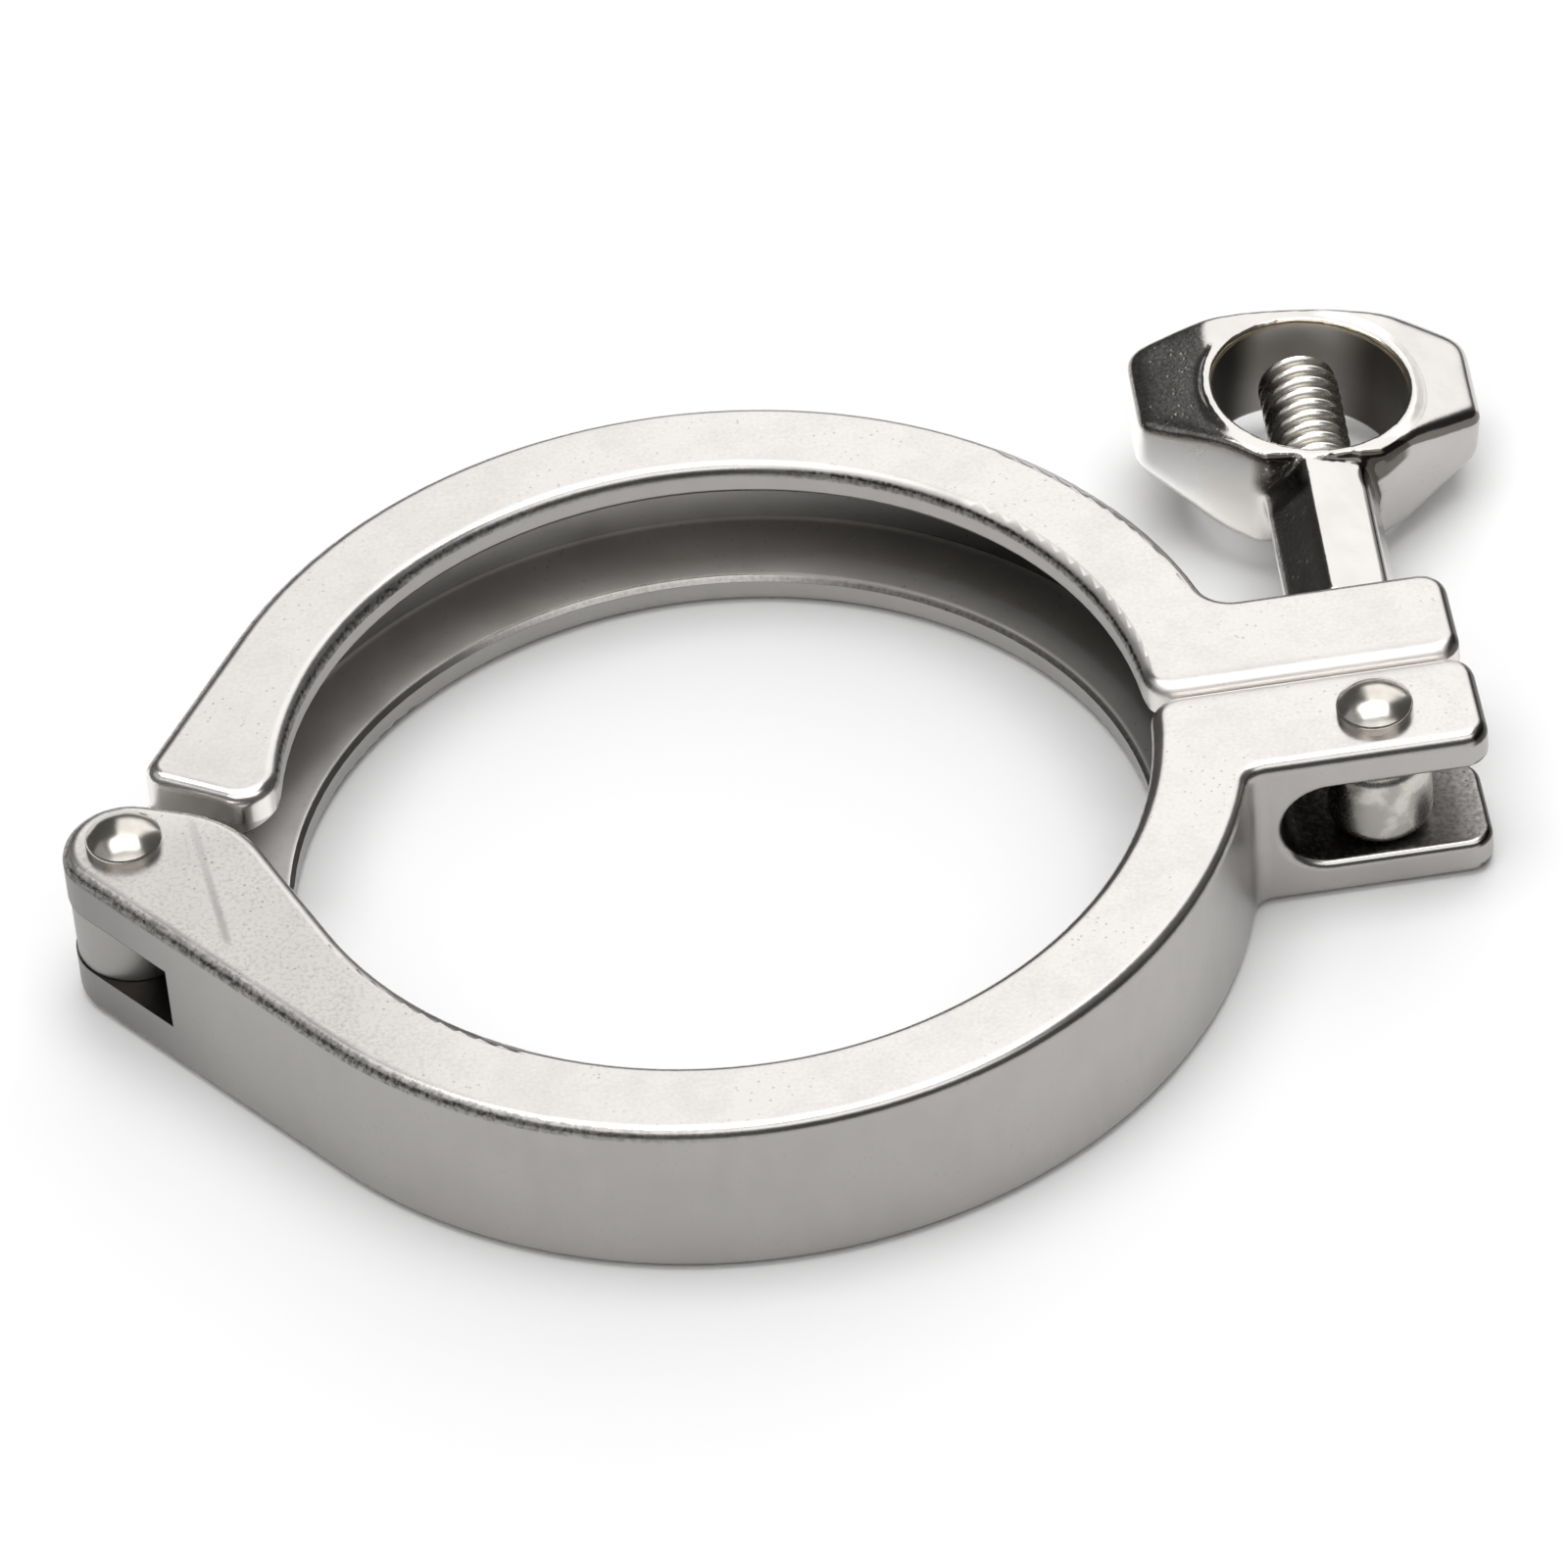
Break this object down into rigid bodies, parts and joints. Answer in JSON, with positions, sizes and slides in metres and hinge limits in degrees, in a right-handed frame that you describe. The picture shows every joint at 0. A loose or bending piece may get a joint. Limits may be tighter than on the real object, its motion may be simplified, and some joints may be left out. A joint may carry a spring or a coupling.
{
  "type": "sanitary pipe clamp",
  "caption": "Hinged clamp with a V-groove that draws a pair of tube ferrules together, closed by a swing bolt and a wing nut.",
  "frame": {"origin": "centre of the ring, half way up its height, on the pipe's axis", "axes": "+Z along the pipe, towards the rivet heads; +X from the hinge to the bolt lugs, along the split; +Y to the jaw that the nut presses on"},
  "size_m": [0.145, 0.109, 0.0204],
  "materials": {
    "front_jaw": "satin tumbled casting",
    "rear_jaw": "satin tumbled casting",
    "hinge_rivet": "polished",
    "bolt_rivet": "polished",
    "swing_bolt": "turned and threaded",
    "wing_nut": "polished casting"
  },
  "bodies": {
    "front": {"front_jaw": "front_jaw", "hinge_rivet": "hinge_rivet", "bolt_rivet": "bolt_rivet"},
    "rear": {"rear_jaw": "rear_jaw"},
    "bolt": {"swing_bolt": "swing_bolt"},
    "nut": {"wing_nut": "wing_nut"}
  },
  "joints": [
    {"name": "jaw_hinge", "type": "hinge", "parent": "front", "child": "rear", "pos_m": [-0.057, -0.0002, 0], "axis": [0, 0, 1], "range_deg": [0, 15]},
    {"name": "bolt_swing", "type": "hinge", "parent": "front", "child": "bolt", "pos_m": [0.0631, -0.0067, 0], "axis": [0, 0, -1], "range_deg": [0, 178]},
    {"name": "nut_travel", "type": "slide", "parent": "bolt", "child": "nut", "axis": [0.0244, 0.9997, 0], "range_m": [0, 0.032]}
  ],
  "couplings": [
    {"joint": "jaw_hinge", "follows": "nut_travel", "rad_per_m": 8.1812}
  ]
}
